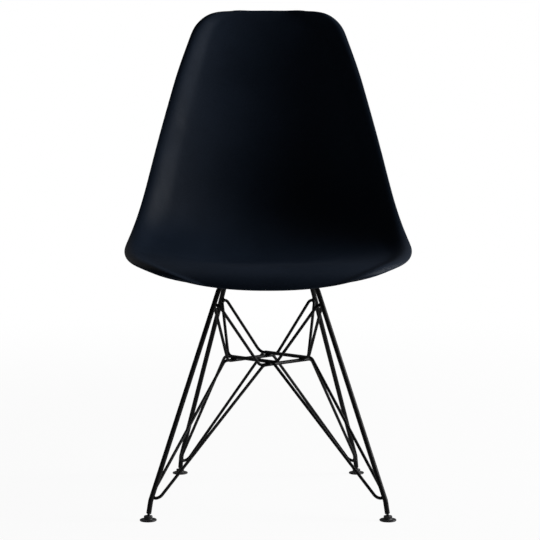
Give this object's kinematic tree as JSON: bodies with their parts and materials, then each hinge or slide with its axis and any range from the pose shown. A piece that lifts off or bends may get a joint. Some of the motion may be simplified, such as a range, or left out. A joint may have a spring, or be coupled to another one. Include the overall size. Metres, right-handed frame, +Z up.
{
  "type": "side chair",
  "caption": "Armless side chair: moulded plastic bucket shell on a base of bent steel rod with crossed wire braces and swivel glides.",
  "frame": {"origin": "on the floor, under the middle of the outer box", "axes": "+Z up, +Y towards the back, X across the seat"},
  "size_m": [0.4706, 0.5231, 0.8099],
  "materials": {
    "shell_plastic": "fine satin moulded polypropylene, near black",
    "black_rod": "satin black powder coat",
    "zinc_steel": "zinc plated",
    "black_steel": "black zinc plated",
    "brass": "turned brass",
    "pad_rubber": "matte black rubber",
    "glide_plastic": "matte black nylon"
  },
  "bodies": {
    "chair": {"seat_shell": "shell_plastic", "threaded_inserts": "brass", "seat_screws": "zinc_steel", "screw_washers": "zinc_steel", "leg_frame_front": "black_rod", "leg_frame_rear": "black_rod", "seat_tie_left": "black_rod", "seat_tie_right": "black_rod", "upper_brace_front_left": "black_rod", "lower_brace_front_left": "black_rod", "upper_brace_front_right": "black_rod", "lower_brace_front_right": "black_rod", "shock_pad_front_left": "pad_rubber", "mount_plate_front_left": "black_rod", "ball_stud_front_left": "black_steel", "shock_pad_front_right": "pad_rubber", "mount_plate_front_right": "black_rod", "ball_stud_front_right": "black_steel", "shock_pad_rear_left": "pad_rubber", "mount_plate_rear_left": "black_rod", "ball_stud_rear_left": "black_steel", "shock_pad_rear_right": "pad_rubber", "mount_plate_rear_right": "black_rod", "ball_stud_rear_right": "black_steel"},
    "foot_front_left": {"glide_front_left": "glide_plastic"},
    "foot_front_right": {"glide_front_right": "glide_plastic"},
    "foot_rear_left": {"glide_rear_left": "glide_plastic"},
    "foot_rear_right": {"glide_rear_right": "glide_plastic"}
  },
  "joints": [
    {"name": "glide_tilt_front_left", "type": "hinge", "parent": "chair", "child": "foot_front_left", "pos_m": [-0.187, -0.2174, 0.006], "axis": [-0.758, 0.6522, 0], "range_deg": [-15, 15]},
    {"name": "glide_tilt_front_right", "type": "hinge", "parent": "chair", "child": "foot_front_right", "pos_m": [0.187, -0.2174, 0.006], "axis": [-0.758, -0.6522, 0], "range_deg": [-15, 15]},
    {"name": "glide_tilt_rear_left", "type": "hinge", "parent": "chair", "child": "foot_rear_left", "pos_m": [-0.1545, 0.147, 0.006], "axis": [0.9222, 0.3867, 0], "range_deg": [-15, 15]},
    {"name": "glide_tilt_rear_right", "type": "hinge", "parent": "chair", "child": "foot_rear_right", "pos_m": [0.1545, 0.147, 0.006], "axis": [0.9222, -0.3867, 0], "range_deg": [-15, 15]}
  ]
}
